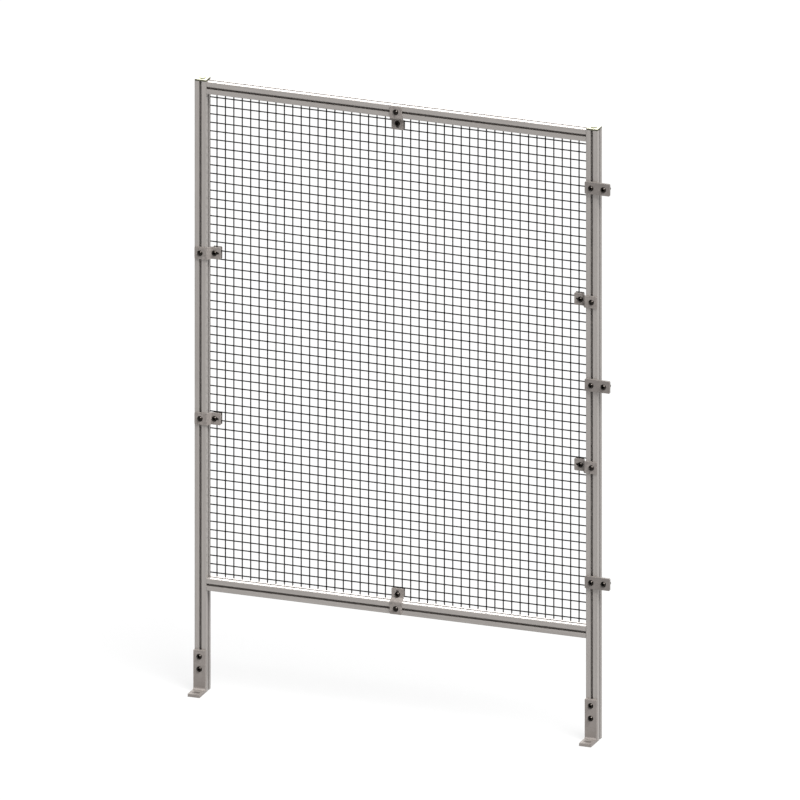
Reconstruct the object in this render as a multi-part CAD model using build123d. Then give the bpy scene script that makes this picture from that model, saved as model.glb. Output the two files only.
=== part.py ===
from build123d import *
import math
import os

# A fence panel for guarding machines: two posts and two rails of square slotted extrusion,
# with a welded wire mesh held in the frame by joggled clips. All sizes are in millimetres.
# X runs along the fence, Y to the back and Z up. The origin is on the sole of the left foot,
# on the centre line of the left post.

# Frame
post_height = 2042.0
post_spacing = 1320.0        # between the centre lines of the two posts
bottom_rail_height = 360.0   # from the floor to the centre line of the bottom rail
sole_to_post = 20.0          # from the origin back to the front face of the posts

# Slotted extrusion
profile = 40.0               # side of the square section
profile_corner = 2.0
slot_mouth = 8.2
slot_lip = 4.5
slot_wide = 20.0             # width of the slot behind its lips
slot_floor = 9.4
slot_depth = 12.5
core_bore = 7.3
corner_void = 5.5            # side of the small square hollow in each corner
corner_wall = 1.9            # between a corner hollow and the outer faces

# End caps on the posts
cap_thickness = 5.0
cap_corner = 3.0
cap_bevel = 1.2
button_diameter = 19.0       # the raised middle of the cap
button_height = 2.5
button_bevel = 0.6
peg_length = 10.0
peg_clearance = 0.2          # all round each peg in its corner hollow

# Screws that hold clips, feet and joining plates
screw_hole = 9.0

# Feet
foot_height = 140.0
foot_reach = 60.0            # forward from the front face of the post
foot_thickness = 10.0
foot_bend = 6.0              # inside radius between the leg and the sole
foot_screws = (78.0, 120.0)  # heights above the floor
anchor_from_edge = 20.0      # from the front edge of the sole to the anchor slot
anchor_width = 13.0
anchor_length = 26.0

# Wire mesh
wire = 4.0
wire_pitch = 28.4
wire_sides = 8
mesh_edge_gap = 5.0          # between the ends of the wires and the frame

# Clips that hold the mesh
sheet = 4.0
clip_width = 40.0
clip_edge_inset = 1.5        # from the outer edge of the profile to the end of the clip
clip_overhang = 4.5          # flat part past the inner edge of the profile, on the front
clip_web_run = 8.0           # sideways run of the slanted web
clip_reach = 43.5            # from the inner edge of the profile to the free end
clip_bend = 2.0              # inside radius of the bends
clip_bevel = 2.0             # across its four corners
clamp_screw_reach = 23.0     # from the inner edge of the profile to the clamp screw
clamp_slot_end = 38.0        # from the inner edge of the profile to the far end of the clip's slot
clamp_plate_start = 15.0     # from the inner edge of the profile to the clamp plate
clamp_plate_bevel = 1.5      # the same on the clamp plate
side_clip_rise = 277.0       # side clips above and below the middle of the opening

# Plates that join this panel to the next one
join_pitch = 42.0            # between the centre lines of the two posts that are joined
join_thickness = 8.0
join_end = 21.0              # from a screw to the end of the plate
join_corner = 3.0
join_rise = 660.0            # upper and lower plate above and below the middle one


half = profile / 2
mesh_set_back = half - wire  # the two layers meet in the middle of the extrusion's depth
left_post_x = 0.0
right_post_x = post_spacing
post_y = sole_to_post + half
top_rail_z = post_height - half
rail_length = post_spacing - profile
middle_x = post_spacing / 2
opening_low = bottom_rail_height + half
opening_high = top_rail_z - half
middle_z = (opening_low + opening_high) / 2
corner_void_place = half - corner_wall - corner_void / 2


def save(shape, name):
    shape.label = name
    export_step(shape, os.path.join("parts", name + ".step"))


def drilled(diameter, depth):
    # A round hole along Y, centred on the origin.
    return Rot(90, 0, 0) * Cylinder(diameter / 2, depth)


def slotted(length, width, depth):
    # A slotted hole along Y whose long side is along X, centred on the origin.
    return extrude(Plane.XZ * SlotOverall(length, width), depth / 2, both=True)


def profile_section():
    lip_inside = half - slot_lip
    floor = half - slot_depth
    shoulder = floor + (slot_wide - slot_floor) / 2
    side = [
        (slot_mouth / 2, profile),
        (slot_mouth / 2, lip_inside),
        (slot_wide / 2, lip_inside),
        (slot_wide / 2, shoulder),
        (slot_floor / 2, floor),
    ]
    other_side = [(-x, y) for x, y in reversed(side)]
    slot = make_face(Polyline(*side, *other_side, close=True))
    void = Pos(corner_void_place, corner_void_place) * Rectangle(corner_void, corner_void)
    section = RectangleRounded(profile, profile, profile_corner) - Circle(core_bore / 2)
    for quarter in range(4):
        section -= Rot(0, 0, 90 * quarter) * slot
        section -= Rot(0, 0, 90 * quarter) * void
    return section


def bar(length):
    # A length of the extrusion, standing on the origin.
    return extrude(profile_section(), length)


def post(x):
    return Pos(x, post_y, 0) * bar(post_height)


def rail(z):
    return Pos(left_post_x + half, post_y, z) * Rot(0, 90, 0) * bar(rail_length)


def cap(x):
    # A plate on the top of the post with a raised button on it, and a peg underneath for
    # each corner hollow of the extrusion.
    plate = extrude(RectangleRounded(profile, profile, cap_corner), cap_thickness)
    plate = chamfer(plate.edges().group_by(Axis.Z)[-1], cap_bevel)
    button = extrude(Circle(button_diameter / 2), button_height)
    button = chamfer(button.edges().group_by(Axis.Z)[-1], button_bevel)
    plate += Pos(0, 0, cap_thickness) * button
    peg_side = corner_void - 2 * peg_clearance
    peg = Pos(corner_void_place, corner_void_place, -peg_length / 2) * Box(peg_side, peg_side, peg_length)
    for quarter in range(4):
        plate += Rot(0, 0, 90 * quarter) * peg
    return Pos(x, post_y, post_height) * plate


def foot(x):
    # An angle with a tall leg screwed to the post and a sole that reaches forward.
    leg_front = sole_to_post - foot_thickness
    sole_front = sole_to_post - foot_reach
    outline = Polyline(
        (sole_front, 0),
        (sole_to_post, 0),
        (sole_to_post, foot_height),
        (leg_front, foot_height),
        (leg_front, foot_thickness),
        (sole_front, foot_thickness),
        close=True,
    )
    angle = extrude(Plane.YZ * make_face(outline), half, both=True)
    inside = angle.edges().filter_by(Axis.X).sort_by_distance((0, leg_front, foot_thickness))[0]
    angle = fillet(inside, foot_bend)
    for height in foot_screws:
        angle -= Pos(0, leg_front, height) * drilled(screw_hole, 3 * foot_thickness)
    anchor = extrude(SlotOverall(anchor_length, anchor_width), foot_thickness, both=True)
    angle -= Pos(0, sole_front + anchor_from_edge, 0) * anchor
    return Pos(x, 0, 0) * angle


def clip():
    # A flat strip bent back twice, so that its free end lies on the front of the mesh.
    # It is made for a post: x runs from the centre line of the profile into the opening.
    bend_angle = math.atan2(mesh_set_back, clip_web_run)
    mitre = sheet * math.tan(bend_angle / 2)
    start = clip_edge_inset - half
    first_bend = half + clip_overhang
    second_bend = first_bend + clip_web_run
    end = half + clip_reach
    front_points = [
        (start, -sheet),
        (first_bend, -sheet),
        (second_bend, mesh_set_back - sheet),
        (end, mesh_set_back - sheet),
    ]
    back_points = [
        (start, 0),
        (first_bend - mitre, 0),
        (second_bend - mitre, mesh_set_back),
        (end, mesh_set_back),
    ]
    outer_bend = clip_bend + sheet
    with BuildSketch() as side:
        with BuildLine():
            front = FilletPolyline(*front_points, radius=[outer_bend, clip_bend])
            back = FilletPolyline(*back_points, radius=[clip_bend, outer_bend])
            Line(front @ 0, back @ 0)
            Line(front @ 1, back @ 1)
        make_face()
    strip = extrude(side.sketch, clip_width / 2, both=True)
    across = strip.edges().filter_by(Axis.Y)
    strip = chamfer(across, clip_bevel)
    strip -= drilled(screw_hole, 4 * sheet)
    slot_near_end = half + clamp_screw_reach - screw_hole / 2
    slot_far_end = half + clamp_slot_end
    slot = slotted(slot_far_end - slot_near_end, screw_hole, 4 * sheet)
    return strip - Pos((slot_near_end + slot_far_end) / 2, mesh_set_back, 0) * slot


def clamp_plate():
    # The plate behind the mesh that the clamp screw pulls against the clip.
    start = half + clamp_plate_start
    end = half + clip_reach
    outline = Pos((start + end) / 2, 0) * Rectangle(end - start, clip_width)
    outline = chamfer(outline.vertices(), clamp_plate_bevel)
    plate = extrude(Plane.XZ * outline, -sheet)
    plate -= Pos(half + clamp_screw_reach, 0, 0) * drilled(screw_hole, 4 * sheet)
    return Pos(0, mesh_set_back + 2 * wire, 0) * plate


def clip_places():
    # Where each clip sits, with its x axis turned from the profile into the opening.
    return {
        "upper_left": Pos(left_post_x, sole_to_post, middle_z + side_clip_rise),
        "lower_left": Pos(left_post_x, sole_to_post, middle_z - side_clip_rise),
        "upper_right": Pos(right_post_x, sole_to_post, middle_z + side_clip_rise) * Rot(0, 180, 0),
        "lower_right": Pos(right_post_x, sole_to_post, middle_z - side_clip_rise) * Rot(0, 180, 0),
        "top": Pos(middle_x, sole_to_post, top_rail_z) * Rot(0, 90, 0),
        "bottom": Pos(middle_x, sole_to_post, bottom_rail_height) * Rot(0, -90, 0),
    }


def wire_bar(length):
    # A straight wire along Z, centred on the origin, with a flat at the front and the back.
    section = RegularPolygon(wire / 2, wire_sides, major_radius=False, rotation=180 / wire_sides)
    return extrude(section, length / 2, both=True)


def wire_places(opening, on_centre):
    # Places of the wires across an opening, counted out from its middle.
    # The first lies on the middle, or half a pitch to each side of it.
    first = 0.0 if on_centre else 0.5
    room = opening / 2 - mesh_edge_gap - wire / 2
    count = int(room / wire_pitch - first) + 1
    steps = [first + index for index in range(count)]
    return sorted({side * step * wire_pitch for step in steps for side in (-1, 1)})


def upright_wires():
    # The front layer. No wire lies on the middle, where the top and bottom clamp screws pass.
    length = opening_high - opening_low - 2 * mesh_edge_gap
    y = sole_to_post + mesh_set_back + wire / 2
    places = wire_places(rail_length, on_centre=False)
    return Compound(children=[Pos(middle_x + x, y, middle_z) * wire_bar(length) for x in places])


def cross_wires():
    # The back layer, which touches the front one at every crossing.
    length = rail_length - 2 * mesh_edge_gap
    y = sole_to_post + mesh_set_back + wire * 1.5
    places = wire_places(opening_high - opening_low, on_centre=True)
    lying = Rot(0, 90, 0) * wire_bar(length)
    return Compound(children=[Pos(middle_x, y, middle_z + z) * lying for z in places])


def joining_plate(z):
    # A flat plate on the front of the right post that reaches over to the next panel's post.
    outline = RectangleRounded(join_pitch + 2 * join_end, profile, join_corner)
    plate = extrude(Plane.XZ * outline, join_thickness)
    for side in (-1, 1):
        plate -= Pos(side * join_pitch / 2, 0, 0) * drilled(screw_hole, 4 * join_thickness)
    return Pos(right_post_x + join_pitch / 2, sole_to_post, z) * plate


os.makedirs("parts", exist_ok=True)
save(post(left_post_x), "left_post")
save(post(right_post_x), "right_post")
save(rail(top_rail_z), "top_rail")
save(rail(bottom_rail_height), "bottom_rail")
save(cap(left_post_x), "left_cap")
save(cap(right_post_x), "right_cap")
save(foot(left_post_x), "left_foot")
save(foot(right_post_x), "right_foot")
save(upright_wires(), "mesh_upright_wires")
save(cross_wires(), "mesh_cross_wires")
for place_name, place in clip_places().items():
    save(place * clip(), place_name + "_clip")
    save(place * clamp_plate(), place_name + "_clamp_plate")
save(joining_plate(middle_z + join_rise), "upper_joining_plate")
save(joining_plate(middle_z), "middle_joining_plate")
save(joining_plate(middle_z - join_rise), "lower_joining_plate")
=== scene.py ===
import math

import bpy
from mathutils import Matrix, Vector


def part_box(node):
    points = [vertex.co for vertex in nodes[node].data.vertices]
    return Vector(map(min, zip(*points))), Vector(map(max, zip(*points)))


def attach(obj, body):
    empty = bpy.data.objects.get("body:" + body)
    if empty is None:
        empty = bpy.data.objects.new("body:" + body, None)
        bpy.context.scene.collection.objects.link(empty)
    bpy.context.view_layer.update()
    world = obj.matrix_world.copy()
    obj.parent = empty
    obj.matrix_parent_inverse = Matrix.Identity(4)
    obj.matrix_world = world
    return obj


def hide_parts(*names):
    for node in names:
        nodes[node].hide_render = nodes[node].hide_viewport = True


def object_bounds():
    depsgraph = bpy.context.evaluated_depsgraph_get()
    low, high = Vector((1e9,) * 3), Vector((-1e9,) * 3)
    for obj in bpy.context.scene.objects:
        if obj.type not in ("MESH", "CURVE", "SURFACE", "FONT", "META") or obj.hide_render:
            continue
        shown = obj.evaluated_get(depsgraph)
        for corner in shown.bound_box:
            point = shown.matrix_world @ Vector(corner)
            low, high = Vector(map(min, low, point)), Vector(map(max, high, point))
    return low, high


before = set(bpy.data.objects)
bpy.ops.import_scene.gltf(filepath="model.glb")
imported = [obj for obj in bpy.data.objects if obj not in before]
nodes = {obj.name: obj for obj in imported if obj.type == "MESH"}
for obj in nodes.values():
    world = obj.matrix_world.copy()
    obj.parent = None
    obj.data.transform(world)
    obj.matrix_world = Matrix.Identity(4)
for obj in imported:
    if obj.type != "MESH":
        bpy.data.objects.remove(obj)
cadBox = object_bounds()
mm = 0.001
print("frame loaded with", len(nodes), "nodes")


# Small helpers for modelling by operators

selectModes = {"vertices": "VERT", "edges": "EDGE", "polygons": "FACE"}
throughCut = 40 * mm   # length of a cutter, more than any nut is thick


def objectMode():
    bpy.ops.object.mode_set(mode="OBJECT")


def editMode():
    bpy.ops.object.mode_set(mode="EDIT")


def deselectAll():
    if bpy.context.mode != "OBJECT":
        objectMode()
    bpy.ops.object.select_all(action="DESELECT")


def useOnly(piece):
    deselectAll()
    piece.select_set(True)
    bpy.context.view_layer.objects.active = piece


def named(name):  # the primitive just added, with its own name
    piece = bpy.context.active_object
    piece.name = name
    piece.data.name = name
    return piece


def pick(piece, parts, wanted):  # edit mode, with only those parts selected that the test accepts
    useOnly(piece)
    editMode()
    bpy.ops.mesh.select_mode(type=selectModes[parts])
    bpy.ops.mesh.select_all(action="DESELECT")
    objectMode()
    for part in getattr(piece.data, parts):
        part.select = bool(wanted(part))
    editMode()


def pushOut(rise, scale=1.0):  # extrudes what is selected along Z, then widens or narrows it
    bpy.ops.mesh.extrude_region_move(TRANSFORM_OT_translate={"value": (0, 0, rise)})
    if scale != 1.0:
        bpy.ops.transform.resize(value=(scale, scale, 1))


def faceOutwards():  # from edit mode, which it leaves
    bpy.ops.mesh.select_all(action="SELECT")
    bpy.ops.mesh.normals_make_consistent(inside=False)
    objectMode()


def applyModifier(piece, kind, **settings):
    useOnly(piece)
    modifier = piece.modifiers.new(kind.title(), kind)
    for setting, value in settings.items():
        setattr(modifier, setting, value)
    bpy.ops.object.modifier_apply(modifier=modifier.name)


def bevelEdges(piece, width, segments, sharperThan=30):  # degrees
    applyModifier(piece, "BEVEL", width=width, segments=segments, limit_method="ANGLE",
                  angle_limit=math.radians(sharperThan))


def repeat(piece, count, step):
    applyModifier(piece, "ARRAY", count=count, use_relative_offset=False,
                  use_constant_offset=True, constant_offset_displace=step)


def cutBy(piece, cutter, operation="DIFFERENCE"):
    applyModifier(piece, "BOOLEAN", object=cutter, operation=operation, solver="EXACT")
    bpy.data.objects.remove(cutter)


def bore(piece, radius, sides=24):  # a round hole along Z
    deselectAll()
    bpy.ops.mesh.primitive_cylinder_add(vertices=sides, radius=radius, depth=throughCut)
    cutBy(piece, bpy.context.active_object)


def settle(piece):  # place, turn and scale go into the mesh
    useOnly(piece)
    bpy.ops.object.transform_apply(location=True, rotation=True, scale=True)
    return piece


def turnBy(piece, *angles):  # quarter turns about X, Y and Z
    piece.rotation_euler = [angle * math.pi / 2 for angle in angles]
    return settle(piece)


def smooth(piece, degrees=35):
    useOnly(piece)
    bpy.ops.object.shade_smooth_by_angle(angle=math.radians(degrees))
    return piece


def copyTo(master, name, place):  # a copy with its own mesh, moved to a place
    useOnly(master)
    bpy.ops.object.duplicate()
    piece = named(name)
    piece.location = place
    return settle(piece)


def removeAll(*masters):
    for master in masters:
        bpy.data.objects.remove(master)


def dress(pieces, material):
    for piece in pieces:
        piece.data.materials.clear()
        piece.data.materials.append(material)
        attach(piece, "root")


# Small helpers for materials

def addNode(tree, kind, **settings):  # sets properties by name and sockets by a leading "in_"
    node = tree.nodes.new(kind)
    for key, value in settings.items():
        if key.startswith("in_"):
            node.inputs[key[3:].replace("_", " ")].default_value = value
        else:
            setattr(node, key, value)
    return node


def mathNode(tree, operation, first, second, clamp=False):
    node = addNode(tree, "ShaderNodeMath", operation=operation, use_clamp=clamp)
    for socket, value in zip(node.inputs, (first, second)):
        if isinstance(value, bpy.types.NodeSocket):
            tree.links.new(value, socket)
        else:
            socket.default_value = value
    return node.outputs[0]


def noiseNode(tree, vector, scale, detail, roughness):
    node = addNode(tree, "ShaderNodeTexNoise", in_Detail=detail, in_Roughness=roughness)
    tree.links.new(vector, node.inputs["Vector"])
    tree.links.new(scale, node.inputs["Scale"])
    return node.outputs["Fac"]


def spread(tree, source, low, high, fromLow=0.3, fromHigh=0.7):  # a noise brought to a range
    node = addNode(tree, "ShaderNodeMapRange", in_From_Min=fromLow, in_From_Max=fromHigh,
                   in_To_Min=low, in_To_Max=high)
    tree.links.new(source, node.inputs["Value"])
    return node.outputs["Result"]


def blendColours(tree, factor, first, second):
    node = addNode(tree, "ShaderNodeMix", data_type="RGBA")
    tree.links.new(factor, node.inputs[0])
    for socket, colour in ((node.inputs[6], first), (node.inputs[7], second)):
        if isinstance(colour, bpy.types.NodeSocket):
            tree.links.new(colour, socket)
        else:
            socket.default_value = (*colour, 1.0)
    return node.outputs[2]


def bumpUp(tree, shader, height, look, normal=None):
    bump = addNode(tree, "ShaderNodeBump", in_Strength=look["bump"], in_Distance=look["bumpDepth"])
    tree.links.new(height, bump.inputs["Height"])
    if normal is not None:
        tree.links.new(normal, bump.inputs["Normal"])
    tree.links.new(bump.outputs["Normal"], shader.inputs["Normal"])


def newMaterial(name, metallic, **settings):
    material = bpy.data.materials.new(name)
    material.use_nodes = True
    shader = material.node_tree.nodes["Principled BSDF"]
    shader.inputs["Metallic"].default_value = metallic
    for label, value in settings.items():
        shader.inputs[label.replace("_", " ")].default_value = value
    return material, material.node_tree, shader


def newGroup(name, inputs, outputs):
    group = bpy.data.node_groups.new(name, "ShaderNodeTree")
    for label, kind, value in inputs:
        socket = group.interface.new_socket(label, in_out="INPUT", socket_type=kind)
        socket.default_value = value
    for label, kind in outputs:
        group.interface.new_socket(label, in_out="OUTPUT", socket_type=kind)
    return group, group.nodes.new("NodeGroupInput"), group.nodes.new("NodeGroupOutput")


def useGroup(tree, group, **values):
    node = addNode(tree, "ShaderNodeGroup", node_tree=group)
    for label, value in values.items():
        node.inputs[label].default_value = value
    return node


# Shader node groups, each built once and placed in several materials

def buildDrawnLines():
    # Fine lines left by the die or the rolls, stretched along one axis of the piece
    group, start, end = newGroup(
        "drawnLines",
        [("Stretch", "NodeSocketVector", (1.0, 1.0, 1.0)), ("Fineness", "NodeSocketFloat", 900.0)],
        [("Lines", "NodeSocketFloat"), ("Streaks", "NodeSocketFloat")],
    )
    streakScale = 0.12   # how fine the streaks are beside the lines
    place = addNode(group, "ShaderNodeTexCoord")
    squeeze = addNode(group, "ShaderNodeVectorMath", operation="MULTIPLY")
    group.links.new(place.outputs["Object"], squeeze.inputs[0])
    group.links.new(start.outputs["Stretch"], squeeze.inputs[1])
    stretched = squeeze.outputs[0]
    fineness = start.outputs["Fineness"]
    coarser = mathNode(group, "MULTIPLY", fineness, streakScale)
    group.links.new(noiseNode(group, stretched, fineness, 3.0, 0.6), end.inputs["Lines"])
    group.links.new(noiseNode(group, stretched, coarser, 2.0, 0.5), end.inputs["Streaks"])
    return group


def buildWornEdges():
    # White on sharp outer edges, broken up by noise; Normal is rounded over the same edges
    group, start, end = newGroup(
        "wornEdges",
        [("Radius", "NodeSocketFloat", 0.6 * mm), ("Breakup", "NodeSocketFloat", 140.0)],
        [("Edge", "NodeSocketFloat"), ("Normal", "NodeSocketVector")],
    )
    edgeGain = 7.0   # brings the small lean over an edge up to white
    brokenFrom, brokenTo = 0.38, 0.62
    bevel = addNode(group, "ShaderNodeBevel", samples=6)
    group.links.new(start.outputs["Radius"], bevel.inputs["Radius"])
    flat = addNode(group, "ShaderNodeNewGeometry")
    dot = addNode(group, "ShaderNodeVectorMath", operation="DOT_PRODUCT")
    group.links.new(bevel.outputs["Normal"], dot.inputs[0])
    group.links.new(flat.outputs["Normal"], dot.inputs[1])
    lean = mathNode(group, "SUBTRACT", 1.0, dot.outputs["Value"])
    strong = mathNode(group, "MULTIPLY", lean, edgeGain, clamp=True)
    place = addNode(group, "ShaderNodeTexCoord")
    noise = noiseNode(group, place.outputs["Object"], start.outputs["Breakup"], 4.0, 0.65)
    broken = spread(group, noise, 0.0, 1.0, brokenFrom, brokenTo)
    group.links.new(mathNode(group, "MULTIPLY", strong, broken), end.inputs["Edge"])
    group.links.new(bevel.outputs["Normal"], end.inputs["Normal"])
    return group


def buildBlotches():
    # Slow change of tone over a surface, with a scatter of small specks
    group, start, end = newGroup(
        "blotches",
        [("Patch", "NodeSocketFloat", 9.0), ("Speck", "NodeSocketFloat", 420.0)],
        [("Tone", "NodeSocketFloat"), ("Specks", "NodeSocketFloat")],
    )
    place = addNode(group, "ShaderNodeTexCoord").outputs["Object"]
    tone = noiseNode(group, place, start.outputs["Patch"], 5.0, 0.55)
    specks = noiseNode(group, place, start.outputs["Speck"], 2.0, 0.7)
    group.links.new(tone, end.inputs["Tone"])
    group.links.new(specks, end.inputs["Specks"])
    return group


def buildUpFacing():
    # Mask of surfaces facing up, ragged where it turns over an edge; it places painted light and
    # shade on tops
    group, start, end = newGroup(
        "upFacing",
        [("Breakup", "NodeSocketFloat", 60.0)],
        [("Up", "NodeSocketFloat")],
    )
    raggedness = 0.2
    borderFrom, borderTo = 0.92, 1.06   # of the upward share of the normal, with the noise added
    split = addNode(group, "ShaderNodeSeparateXYZ")
    group.links.new(addNode(group, "ShaderNodeNewGeometry").outputs["Normal"], split.inputs[0])
    place = addNode(group, "ShaderNodeTexCoord").outputs["Object"]
    noise = noiseNode(group, place, start.outputs["Breakup"], 3.0, 0.6)
    ragged = mathNode(group, "MULTIPLY", noise, raggedness)
    facing = mathNode(group, "ADD", split.outputs["Z"], ragged)
    group.links.new(spread(group, facing, 0.0, 1.0, borderFrom, borderTo), end.inputs["Up"])
    return group


drawnLines = buildDrawnLines()
wornEdges = buildWornEdges()
blotches = buildBlotches()
upFacing = buildUpFacing()
print("shader groups built")


# Metals. A colour is linear red, green and blue; a scale is in grains or patches to the metre

metalGrain = {
    "linesFrom": 0.4,      # the part of the fine lines that tints the metal
    "linesTo": 0.6,
    "pitsFrom": 0.5,       # only the highest specks are pits
    "pitsTo": 0.62,
    "patchRough": 0.04,    # how far a patch is rougher or smoother
    "oilRoughness": 0.12,
}
extrusionLook = {
    "metallic": 0.6,
    "dark": (0.455, 0.426, 0.403),
    "light": (0.53, 0.497, 0.471),
    "dull": (0.405, 0.378, 0.358),
    "pit": (0.3, 0.28, 0.265),
    "bright": (0.56, 0.54, 0.52),   # where an edge is worn
    "patchShare": 0.35,
    "lineShare": 0.5,
    "pitShare": 0.15,
    "topShadeShare": 0.0,
    "wear": 0.4,
    "oil": 0.0,
    "gloss": 0.5,
    "fineness": 900.0,
    "patch": 3.0,
    "speck": 900.0,
    "speckHeight": 0.4,
    "breakup": 60.0,
    "edgeRadius": 0.5 * mm,
    "roughLow": 0.32,
    "roughHigh": 0.48,
    "bump": 0.4,
    "bumpDepth": 0.06 * mm,
}
footLook = {   # the other steels start from this one
    "metallic": 0.2,
    "dark": (0.29, 0.262, 0.245),
    "light": (0.355, 0.321, 0.3),
    "dull": (0.25, 0.225, 0.211),
    "pit": (0.13, 0.117, 0.108),
    "bright": (0.45, 0.43, 0.41),
    # painted shade: a darker tone laid on the up-facing tops of the steel brackets
    "paintedTopShade": (0.15, 0.135, 0.12),
    "patchShare": 0.5,
    "lineShare": 0.4,
    "pitShare": 0.45,
    "topShadeShare": 0.5,
    "wear": 0.5,
    "oil": 0.0,
    "gloss": 0.2,
    "fineness": 500.0,
    "patch": 40.0,
    "speck": 1400.0,
    "speckHeight": 1.2,
    "breakup": 220.0,
    "edgeRadius": 0.6 * mm,
    "roughLow": 0.55,
    "roughHigh": 0.68,
    "bump": 0.35,
    "bumpDepth": 0.08 * mm,
}
clipLook = dict(   # mottled by its plating
    footLook,
    dark=(0.34, 0.307, 0.287),
    light=(0.412, 0.372, 0.348),
    dull=(0.205, 0.185, 0.172),
    patch=220.0,
    patchShare=0.9,
    lineShare=0.15,
)
plateLook = dict(
    footLook,
    dark=(0.24, 0.217, 0.203),
    light=(0.29, 0.262, 0.245),
    dull=(0.2, 0.18, 0.169),
    pit=(0.11, 0.1, 0.092),
)
nutLook = dict(
    footLook,
    metallic=1.0,
    dark=(0.42, 0.41, 0.39),
    light=(0.5, 0.49, 0.46),
    dull=(0.34, 0.33, 0.3),
    bright=(0.7, 0.69, 0.65),
    topShadeShare=0.0,
    roughLow=0.28,
    roughHigh=0.4,
)
screwLook = dict(   # black, with a film of oil
    footLook,
    metallic=1.0,
    dark=(0.026, 0.022, 0.019),
    light=(0.038, 0.033, 0.029),
    dull=(0.03, 0.025, 0.021),
    pit=(0.014, 0.012, 0.01),
    bright=(0.22, 0.21, 0.2),
    topShadeShare=0.0,
    wear=0.3,
    oil=0.15,
    roughLow=0.2,
    roughHigh=0.28,
    edgeRadius=0.25 * mm,
)
alongUpright = (1.0, 1.0, 0.012)
alongRail = (0.012, 1.0, 1.0)
alongStrip = (0.25, 1.0, 1.0)
allRound = (1.0, 1.0, 1.0)


def finishMetal(name, look, stretch, grain=metalGrain):
    # Two tones in streaks, patches, pits, painted shade on top, worn edges, and lines in the bump
    material, tree, shader = newMaterial(
        name, look["metallic"], Specular_IOR_Level=look["gloss"],
        Coat_Weight=look["oil"], Coat_Roughness=grain["oilRoughness"])
    lines = useGroup(tree, drawnLines, Stretch=stretch, Fineness=look["fineness"])
    edges = useGroup(tree, wornEdges, Radius=look["edgeRadius"], Breakup=look["breakup"])
    patches = useGroup(tree, blotches, Patch=look["patch"], Speck=look["speck"])
    streaks = spread(tree, lines.outputs["Streaks"], 0.0, 1.0)
    base = blendColours(tree, streaks, look["dark"], look["light"])
    shade = spread(tree, patches.outputs["Tone"], 0.0, look["patchShare"])
    base = blendColours(tree, shade, base, look["dull"])
    fine = spread(tree, lines.outputs["Lines"], 0.0, look["lineShare"],
                  grain["linesFrom"], grain["linesTo"])
    base = blendColours(tree, fine, base, look["dull"])
    pits = spread(tree, patches.outputs["Specks"], 0.0, look["pitShare"],
                  grain["pitsFrom"], grain["pitsTo"])
    base = blendColours(tree, pits, base, look["pit"])
    # Painted shade: faces that point up are darkened, so that tops come out no lighter than fronts
    if look["topShadeShare"] > 0:
        up = useGroup(tree, upFacing, Breakup=look["breakup"])
        shadedTops = mathNode(tree, "MULTIPLY", up.outputs["Up"], look["topShadeShare"])
        base = blendColours(tree, shadedTops, base, look["paintedTopShade"])
    worn = mathNode(tree, "MULTIPLY", edges.outputs["Edge"], look["wear"])
    base = blendColours(tree, worn, base, look["bright"])
    tree.links.new(base, shader.inputs["Base Color"])
    rough = mathNode(
        tree, "ADD",
        spread(tree, lines.outputs["Lines"], look["roughLow"], look["roughHigh"]),
        spread(tree, patches.outputs["Tone"], -grain["patchRough"], grain["patchRough"]))
    tree.links.new(rough, shader.inputs["Roughness"])
    specks = mathNode(tree, "MULTIPLY", patches.outputs["Specks"], look["speckHeight"])
    height = mathNode(tree, "ADD", lines.outputs["Lines"], specks)
    bumpUp(tree, shader, height, look, edges.outputs["Normal"])
    return material


uprightAluminium = finishMetal("uprightAluminium", extrusionLook, alongUpright)
lyingAluminium = finishMetal("lyingAluminium", extrusionLook, alongRail)
footSteel = finishMetal("footSteel", footLook, alongStrip)
clipSteel = finishMetal("clipSteel", clipLook, alongStrip)
plateSteel = finishMetal("plateSteel", plateLook, alongStrip)
nutSteel = finishMetal("nutSteel", nutLook, allRound)
screwSteel = finishMetal("screwSteel", screwLook, allRound)


# The coat on the wires and the plastic of the caps

coatLook = {
    "dark": (0.008, 0.0077, 0.0075),
    "light": (0.018, 0.0175, 0.017),
    "worn": (0.05, 0.049, 0.047),
    "wornShare": 0.5,
    "wornFrom": 0.62,    # only the highest patches are rubbed
    "wornTo": 0.75,
    "sheen": 0.08,       # how strongly the coat mirrors the light
    "roughLow": 0.38,
    "roughHigh": 0.55,
    "patch": 14.0,
    "peel": 1100.0,      # the dimples of a powder coat
    "bump": 0.3,
    "bumpDepth": 0.05 * mm,
}
capLook = {
    "dark": (0.05, 0.05, 0.031),
    "light": (0.07, 0.07, 0.045),
    "paintedLitTop": (0.6, 0.6, 0.42),   # the top, painted pale as if lit strongly from above
    "edge": (0.11, 0.11, 0.075),
    "edgeShare": 0.5,
    "edgeRadius": 0.5 * mm,
    "edgeBreakup": 160.0,
    "topBreakup": 90.0,
    "roughLow": 0.4,
    "roughHigh": 0.56,
    "patch": 25.0,
    "grain": 2200.0,                # the fine texture of the mould
    "bump": 0.25,
    "bumpDepth": 0.05 * mm,
}


def finishCoatedWire(name, look):
    material, tree, shader = newMaterial(name, 0.0, Specular_IOR_Level=look["sheen"])
    patches = useGroup(tree, blotches, Patch=look["patch"], Speck=look["peel"])
    tone, specks = patches.outputs["Tone"], patches.outputs["Specks"]
    base = blendColours(tree, spread(tree, tone, 0.0, 1.0), look["dark"], look["light"])
    rubbed = spread(tree, tone, 0.0, look["wornShare"], look["wornFrom"], look["wornTo"])
    base = blendColours(tree, rubbed, base, look["worn"])
    tree.links.new(base, shader.inputs["Base Color"])
    rough = spread(tree, specks, look["roughLow"], look["roughHigh"])
    tree.links.new(rough, shader.inputs["Roughness"])
    bumpUp(tree, shader, specks, look)
    return material


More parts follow.
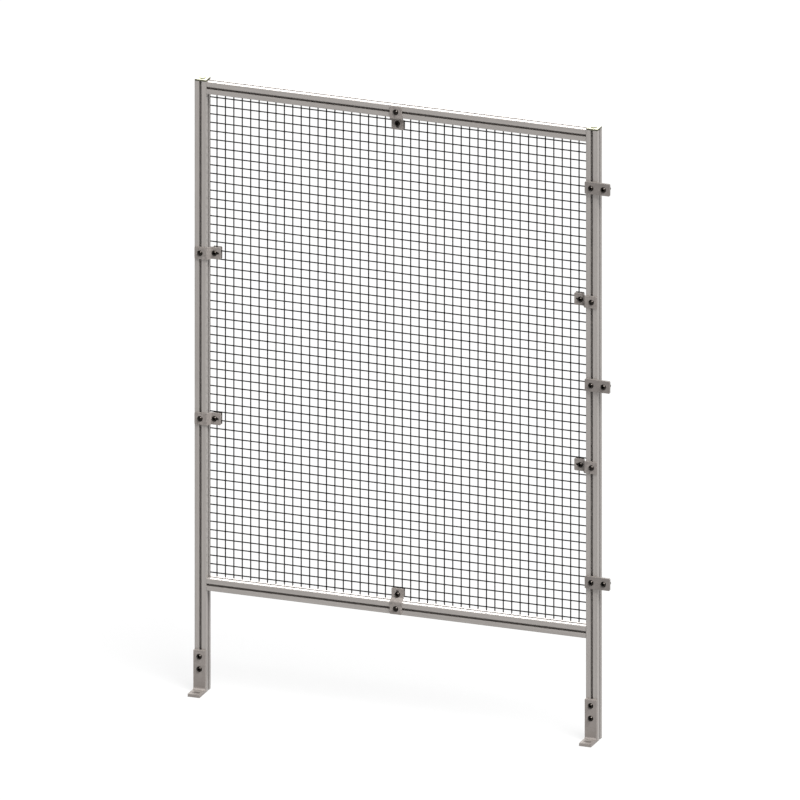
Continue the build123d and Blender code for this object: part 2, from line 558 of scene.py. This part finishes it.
def finishCap(name, look):
    material, tree, shader = newMaterial(name, 0.0)
    patches = useGroup(tree, blotches, Patch=look["patch"], Speck=look["grain"])
    edges = useGroup(tree, wornEdges, Radius=look["edgeRadius"], Breakup=look["edgeBreakup"])
    up = useGroup(tree, upFacing, Breakup=look["topBreakup"])
    tone, specks = patches.outputs["Tone"], patches.outputs["Specks"]
    base = blendColours(tree, spread(tree, tone, 0.0, 1.0), look["dark"], look["light"])
    # Painted light: faces that point up take the pale colour, standing in for strong light from
    # above
    base = blendColours(tree, up.outputs["Up"], base, look["paintedLitTop"])
    rubbed = mathNode(tree, "MULTIPLY", edges.outputs["Edge"], look["edgeShare"])
    base = blendColours(tree, rubbed, base, look["edge"])
    tree.links.new(base, shader.inputs["Base Color"])
    rough = spread(tree, specks, look["roughLow"], look["roughHigh"])
    tree.links.new(rough, shader.inputs["Roughness"])
    bumpUp(tree, shader, specks, look, edges.outputs["Normal"])
    return material


coatedWire = finishCoatedWire("coatedWire", coatLook)
capPlastic = finishCap("capPlastic", capLook)

nodeFinish = {   # by the last words of the node's name
    "post": uprightAluminium,
    "rail": lyingAluminium,
    "cap": capPlastic,
    "foot": footSteel,
    "clip": clipSteel,
    "clamp_plate": clipSteel,
    "joining_plate": plateSteel,
    "wires": coatedWire,
}
for name, node in nodes.items():
    node.data.materials.clear()
    for ending, finish in nodeFinish.items():
        if name.endswith(ending):
            node.data.materials.append(finish)
print("frame dressed")


# Button-head screws with a flange and a thread; only the short ones get their hexagon socket

screwSize = {
    "sides": 24,
    "flangeRadius": 9.2 * mm,
    "flangeEdge": 1.0 * mm,
    "flangeBevel": 0.3 * mm,
    "domeRadius": 7.8 * mm,
    "domeStep": 0.15 * mm,      # from the flange up to the foot of the dome
    "domeRings": (              # radius and height of each, up to the rim of the socket
        (7.6 * mm, 1.5 * mm),
        (7.2 * mm, 2.0 * mm),
        (5.8 * mm, 3.7 * mm),
        (5.0 * mm, 4.35 * mm),
        (4.3 * mm, 4.7 * mm),
        (3.9 * mm, 4.8 * mm),
    ),
    "socketFlats": 5.5 * mm,
    "socketLead": 0.25 * mm,    # from the rim down to the mouth of the hexagon
    "socketDepth": 2.6 * mm,
    "socketPoint": 0.8 * mm,
    "shankRadius": 3.95 * mm,
    "rootRadius": 3.35 * mm,
    "pitch": 1.25 * mm,
    "plainShank": 1.0 * mm,     # between the head and the thread
    "threadSpare": 2.5 * mm,    # the least length without thread, at head and tip together
    "tipTaper": 0.2 * mm,
    "smoothing": 40,
}


def buildScrew(length, size=screwSize):
    # Built head up on its bearing face, then turned so that the head points to the front
    deselectAll()
    radius = size["flangeRadius"]
    bpy.ops.mesh.primitive_circle_add(vertices=size["sides"], radius=radius, fill_type="NGON")
    screw = named("screwMaster")
    editMode()
    bpy.ops.mesh.select_all(action="SELECT")
    pushOut(size["flangeEdge"] - size["flangeBevel"])
    pushOut(size["flangeBevel"], (radius - size["flangeBevel"]) / radius)
    radius -= size["flangeBevel"]
    pushOut(size["domeStep"], size["domeRadius"] / radius)
    radius, height = size["domeRadius"], size["flangeEdge"] + size["domeStep"]
    for nextRadius, nextHeight in size["domeRings"]:
        pushOut(nextHeight - height, nextRadius / radius)
        radius, height = nextRadius, nextHeight
    bpy.ops.mesh.delete(type="ONLY_FACE")
    # Known fault: the first call leaves face mode on, in which the bare hexagon isn't picked.
    # Its socket then shrinks to a point and the head stays open, on the medium and long screws
    socketRadius = size["socketFlats"] / math.sqrt(3)
    mouth = height - size["socketLead"]
    bpy.ops.mesh.select_all(action="DESELECT")
    bpy.ops.mesh.primitive_circle_add(vertices=6, radius=socketRadius, location=(0, 0, mouth))
    pushOut(-size["socketDepth"])
    pushOut(-size["socketPoint"])
    bpy.ops.mesh.merge(type="CENTER")
    objectMode()
    near = 0.02 * mm

    def onMouth(edge):  # the rim of the dome or the hexagon, which are then joined
        ends = [screw.data.vertices[i].co for i in edge.vertices]
        rim = all(abs(p.z - height) < near for p in ends)
        hexagon = all(abs(p.z - mouth) < near and p.xy.length < socketRadius + near for p in ends)
        return rim or hexagon

    def isBearing(face):
        return face.normal.z < -0.9 and abs(face.center.z) < near

    pick(screw, "edges", onMouth)
    bpy.ops.mesh.bridge_edge_loops()
    objectMode()
    pick(screw, "polygons", isBearing)
    bpy.ops.mesh.inset(thickness=size["flangeRadius"] - size["shankRadius"])
    turns = int((length - size["threadSpare"]) / size["pitch"])
    pushOut(-size["plainShank"])
    for _ in range(turns):
        pushOut(-size["pitch"] / 2, size["rootRadius"] / size["shankRadius"])
        pushOut(-size["pitch"] / 2, size["shankRadius"] / size["rootRadius"])
    tip = length - size["plainShank"] - turns * size["pitch"]
    pushOut(-tip, (size["rootRadius"] - size["tipTaper"]) / size["shankRadius"])
    faceOutwards()
    return smooth(turnBy(screw, 1, 0, 0), size["smoothing"])


# Where the fastenings go, read from the frame

fastening = {
    "footScrewHeights": (78 * mm, 120 * mm),
    "footThickness": 10 * mm,
    "clipThickness": 4 * mm,
    "clampReach": 23 * mm,      # from the inner edge of the profile to the clamp screw
    "joinPitch": 42 * mm,
    "clipScrewLength": 16 * mm,
    "plateScrewLength": 20 * mm,
    "clampScrewLength": 25 * mm,
}
clipNames = ("upper_left", "lower_left", "upper_right", "lower_right", "top", "bottom")


def middle(name):
    low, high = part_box(name)
    return (low + high) / 2


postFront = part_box("left_post")[0].y
profileHalf = (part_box("left_post")[1].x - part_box("left_post")[0].x) / 2
leftX = middle("left_post").x
rightX = middle("right_post").x


def clipAxis(name):  # the clip's profile centre, and the direction into the opening
    if name == "top":
        return (middle("top_clip").x, middle("top_rail").z), (0, -1)
    if name == "bottom":
        return (middle("bottom_clip").x, middle("bottom_rail").z), (0, 1)
    z = middle(name + "_clip").z
    return ((leftX, z), (1, 0)) if name.endswith("left") else ((rightX, z), (-1, 0))


shortScrew = buildScrew(fastening["clipScrewLength"])
mediumScrew = buildScrew(fastening["plateScrewLength"])
longScrew = buildScrew(fastening["clampScrewLength"])
screws = []
slotPlaces = []    # name, x and z of each screw that goes into a slot
freePlaces = []    # the same for those that wait for the next panel
clampPlaces = []   # and for those through a clamp plate, by the name of the clip


def addScrew(master, name, x, front, z):
    screws.append(copyTo(master, "screw_" + name, (x, front, z)))
    return name, x, z


for side, x in (("left", leftX), ("right", rightX)):
    footFront = postFront - fastening["footThickness"]
    for row, height in zip(("low", "high"), fastening["footScrewHeights"]):
        name = side + "_foot_" + row
        slotPlaces.append(addScrew(mediumScrew, name, x, footFront, height))
for name in clipNames:
    (x, z), (dx, dz) = clipAxis(name)
    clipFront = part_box(name + "_clip")[0].y
    slotPlaces.append(addScrew(shortScrew, name + "_clip", x, clipFront, z))
    reach = profileHalf + fastening["clampReach"]
    clampX, clampZ = x + dx * reach, z + dz * reach
    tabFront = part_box(name + "_clip")[1].y - fastening["clipThickness"]
    addScrew(longScrew, name + "_clamp", clampX, tabFront, clampZ)
    clampPlaces.append((name, clampX, clampZ))
for level in ("upper", "middle", "lower"):
    plate = level + "_joining_plate"
    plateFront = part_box(plate)[0].y
    z = middle(plate).z
    freeX = rightX + fastening["joinPitch"]
    slotPlaces.append(addScrew(mediumScrew, level + "_join_post", rightX, plateFront, z))
    freePlaces.append(addScrew(mediumScrew, level + "_join_free", freeX, plateFront, z))
removeAll(shortScrew, mediumScrew, longScrew)
dress(screws, screwSteel)
print("screws placed:", len(screws))


# Slot nuts with rounded ends

slotNutSize = {
    "sides": 24,
    "length": 38 * mm,
    "width": 12 * mm,
    "thickness": 5.5 * mm,
    "edge": 0.5 * mm,
    "bore": 3.6 * mm,
    "lip": 4.5 * mm,        # thickness of the lips that the nut bears against
    "freeDepth": 6.5 * mm,  # how far behind the plate the nut hangs on a free screw
}


def buildSlotNut(size=slotNutSize):
    # A round plate whose right half is moved out, so that its ends are half rounds
    deselectAll()
    straight = size["length"] - size["width"]
    bpy.ops.mesh.primitive_circle_add(
        vertices=size["sides"], radius=size["width"] / 2, fill_type="NGON",
        rotation=(0, 0, math.pi / size["sides"]))
    nut = settle(named("slotNutMaster"))
    pick(nut, "vertices", lambda point: point.co.x > 0)
    bpy.ops.transform.translate(value=(straight, 0, 0))
    bpy.ops.mesh.select_all(action="SELECT")
    bpy.ops.transform.translate(value=(-straight / 2, 0, 0))
    pushOut(size["thickness"])
    faceOutwards()
    bevelEdges(nut, size["edge"], 2)
    bore(nut, size["bore"])
    return smooth(turnBy(nut, -1, 0, 0))   # its thickness goes to the back, its length along X


slotNuts = []
lyingNut = buildSlotNut()
for name, x, z in freePlaces:
    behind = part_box(name.split("_")[0] + "_joining_plate")[1].y + slotNutSize["freeDepth"]
    slotNuts.append(copyTo(lyingNut, "slot_nut_" + name, (x, behind, z)))
uprightNut = turnBy(copyTo(lyingNut, "uprightNutMaster", (0, 0, 0)), 0, 1, 0)
for name, x, z in slotPlaces:
    master = lyingNut if name.startswith(("top", "bottom")) else uprightNut
    slotNuts.append(copyTo(master, "slot_nut_" + name, (x, postFront + slotNutSize["lip"], z)))
removeAll(lyingNut, uprightNut)
dress(slotNuts, nutSteel)
print("slot nuts placed:", len(slotNuts))


# Hexagon nuts on washers, behind the clamp plates

hexNutSize = {
    "flats": 13 * mm,
    "height": 6.5 * mm,
    "bore": 3.7 * mm,
    "roundSides": 48,
    "roundFit": 0.995,      # the rounding bites the corners a little
    "chamfer": 0.9 * mm,
    "smoothing": 25,
}
washerSize = {
    "sides": 40,
    "radius": 8 * mm,
    "thickness": 1.6 * mm,
    "edge": 0.25 * mm,
    "bore": 4.2 * mm,
    "boreSides": 32,
}


def layOnPlate(piece, thickness):  # turns its axis from Z to Y and brings its front to y = 0
    piece.location = (0, thickness / 2, 0)
    return turnBy(piece, 1, 0, 0)


def buildHexNut(size=hexNutSize):
    deselectAll()
    corner = size["flats"] / math.sqrt(3)
    bpy.ops.mesh.primitive_cylinder_add(vertices=6, radius=corner, depth=size["height"])
    nut = named("hexNutMaster")
    deselectAll()
    bpy.ops.mesh.primitive_cylinder_add(
        vertices=size["roundSides"], radius=corner * size["roundFit"], depth=size["height"])
    rounding = bpy.context.active_object
    bevelEdges(rounding, size["chamfer"], 1)
    cutBy(nut, rounding, "INTERSECT")
    bore(nut, size["bore"])
    return smooth(layOnPlate(nut, size["height"]), size["smoothing"])


def buildWasher(size=washerSize):
    deselectAll()
    bpy.ops.mesh.primitive_cylinder_add(
        vertices=size["sides"], radius=size["radius"], depth=size["thickness"])
    washer = named("washerMaster")
    bevelEdges(washer, size["edge"], 2)
    bore(washer, size["bore"], size["boreSides"])
    return smooth(layOnPlate(washer, size["thickness"]))


hexNut = buildHexNut()
washer = buildWasher()
nuts = []
for name, x, z in clampPlaces:
    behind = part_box(name + "_clamp_plate")[1].y
    nuts.append(copyTo(washer, "washer_" + name, (x, behind, z)))
    nuts.append(copyTo(hexNut, "hex_nut_" + name, (x, behind + washerSize["thickness"], z)))
removeAll(hexNut, washer)
dress(nuts, nutSteel)
print("hexagon nuts and washers placed:", len(nuts))


# The wire mesh: round wires with softened ends, and a weld at every crossing

meshSize = {
    "uprights": 44,
    "crosses": 57,
    "sides": 12,
    "endBevel": 0.45 * mm,
    "endAngle": 60,         # so that only the ends are bevelled
    "smoothing": 50,
}
weldSize = {
    "segments": 6,
    "rings": 4,
    "width": 2.5 * mm,      # half of the weld's width, along the wires
    "depth": 1.7 * mm,      # half of its depth, through both layers
    "smoothing": 80,
}
uprightLow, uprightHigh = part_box("mesh_upright_wires")
crossLow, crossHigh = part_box("mesh_cross_wires")
wireRadius = (uprightHigh.y - uprightLow.y) / 2
uprightSpan = uprightHigh.x - uprightLow.x - 2 * wireRadius
crossSpan = crossHigh.z - crossLow.z - 2 * wireRadius
uprightStep = (uprightSpan / (meshSize["uprights"] - 1), 0, 0)
crossStep = (0, 0, crossSpan / (meshSize["crosses"] - 1))


def buildWires(name, first, length, turn, count, step):
    deselectAll()
    bpy.ops.mesh.primitive_cylinder_add(
        vertices=meshSize["sides"], radius=wireRadius, depth=length, location=first, rotation=turn)
    wires = settle(named(name))
    bevelEdges(wires, meshSize["endBevel"], 2, meshSize["endAngle"])
    repeat(wires, count, step)
    return smooth(wires, meshSize["smoothing"])


def buildWelds(first, size=weldSize):
    deselectAll()
    bpy.ops.mesh.primitive_uv_sphere_add(
        segments=size["segments"], ring_count=size["rings"], radius=1, location=first)
    welds = named("mesh_welds")
    welds.scale = (size["width"], size["depth"], size["width"])
    settle(welds)
    repeat(welds, meshSize["uprights"], uprightStep)
    repeat(welds, meshSize["crosses"], crossStep)
    return smooth(welds, size["smoothing"])


firstX, firstZ = uprightLow.x + wireRadius, crossLow.z + wireRadius
uprights = buildWires(
    "mesh_uprights", (firstX, uprightLow.y + wireRadius, (uprightLow.z + uprightHigh.z) / 2),
    uprightHigh.z - uprightLow.z, (0, 0, 0), meshSize["uprights"], uprightStep)
crosses = buildWires(
    "mesh_crosses", ((crossLow.x + crossHigh.x) / 2, crossLow.y + wireRadius, firstZ),
    crossHigh.x - crossLow.x, (0, math.pi / 2, 0), meshSize["crosses"], crossStep)
welds = buildWelds((firstX, crossLow.y, firstZ))   # where the two layers touch
dress((uprights, crosses, welds), coatedWire)
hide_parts("mesh_upright_wires")
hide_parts("mesh_cross_wires")
print("mesh laid:", meshSize["uprights"], "by", meshSize["crosses"], "wires")


# Floor, light and camera

stageLook = {
    "floorShade": 0.3,       # what the floor gives back to the panel
    "floorSeen": 0.1,        # how much of its light and shadow the camera sees
    "floorGlow": 0.84,       # pales the floor for the camera, and lights nothing
    "floorRoughness": 0.9,
    "floorSize": 80.0,
    "floorHeight": -1 * mm,
    "skyColour": (1.0, 1.0, 1.0),
    "skyStrength": 0.35,
    "lampHeight": 4.0,
    "lamps": {   # strength, softness and turn, the last two in degrees
        "softKey": (6.0, 35, (34, 0, 58)),      # from above, the right and the front
        "backFill": (1.7, 40, (66, 0, -159)),   # low from behind, along the tops of the rails
    },
}
deselectAll()
bpy.ops.mesh.primitive_plane_add(
    size=stageLook["floorSize"], location=(cadBox[0].x, 0, stageLook["floorHeight"]))
floor = named("floor")
floorPaint, floorTree, floorShader = newMaterial(
    "floorPaint", 0.0, Roughness=stageLook["floorRoughness"], Specular_IOR_Level=0.0,
    Emission_Color=(1.0, 1.0, 1.0, 1.0))
seen = addNode(floorTree, "ShaderNodeLightPath").outputs["Is Camera Ray"]
shade = blendColours(floorTree, seen, [stageLook["floorShade"]] * 3, [stageLook["floorSeen"]] * 3)
floorTree.links.new(shade, floorShader.inputs["Base Color"])
glow = mathNode(floorTree, "MULTIPLY", seen, stageLook["floorGlow"])
floorTree.links.new(glow, floorShader.inputs["Emission Strength"])
floor.data.materials.append(floorPaint)

world = bpy.data.worlds.new("studio")
bpy.context.scene.world = world
world.use_nodes = True
sky = world.node_tree.nodes["Background"]
sky.inputs["Color"].default_value = (*stageLook["skyColour"], 1.0)
sky.inputs["Strength"].default_value = stageLook["skyStrength"]

for name, (strength, softness, turned) in stageLook["lamps"].items():
    deselectAll()
    bpy.ops.object.light_add(
        type="SUN", location=(0, 0, stageLook["lampHeight"]),
        rotation=[math.radians(angle) for angle in turned])
    lamp = named(name)
    lamp.data.energy = strength
    lamp.data.angle = math.radians(softness)

cameraView = {
    "turn": 20.705,           # degrees round from straight in front
    "rise": 19.471,           # degrees above the horizon
    "aim": (0.6658, 0.04, 1.0519),
    "distance": 8.0,
    "pictureWidth": 2.524,    # metres across the picture
    "farthest": 200.0,
}
turn, rise = math.radians(cameraView["turn"]), math.radians(cameraView["rise"])
back = (math.sin(turn) * math.cos(rise), -math.cos(turn) * math.cos(rise), math.sin(rise))
stand = [a + b * cameraView["distance"] for a, b in zip(cameraView["aim"], back)]
deselectAll()
bpy.ops.object.camera_add(location=stand, rotation=(math.pi / 2 - rise, 0, turn))
camera = named("camera")
camera.data.type = "ORTHO"
camera.data.ortho_scale = cameraView["pictureWidth"]
camera.data.clip_end = cameraView["farthest"]
bpy.context.scene.camera = camera
bpy.context.scene.view_settings.view_transform = "Standard"
print("stage set")
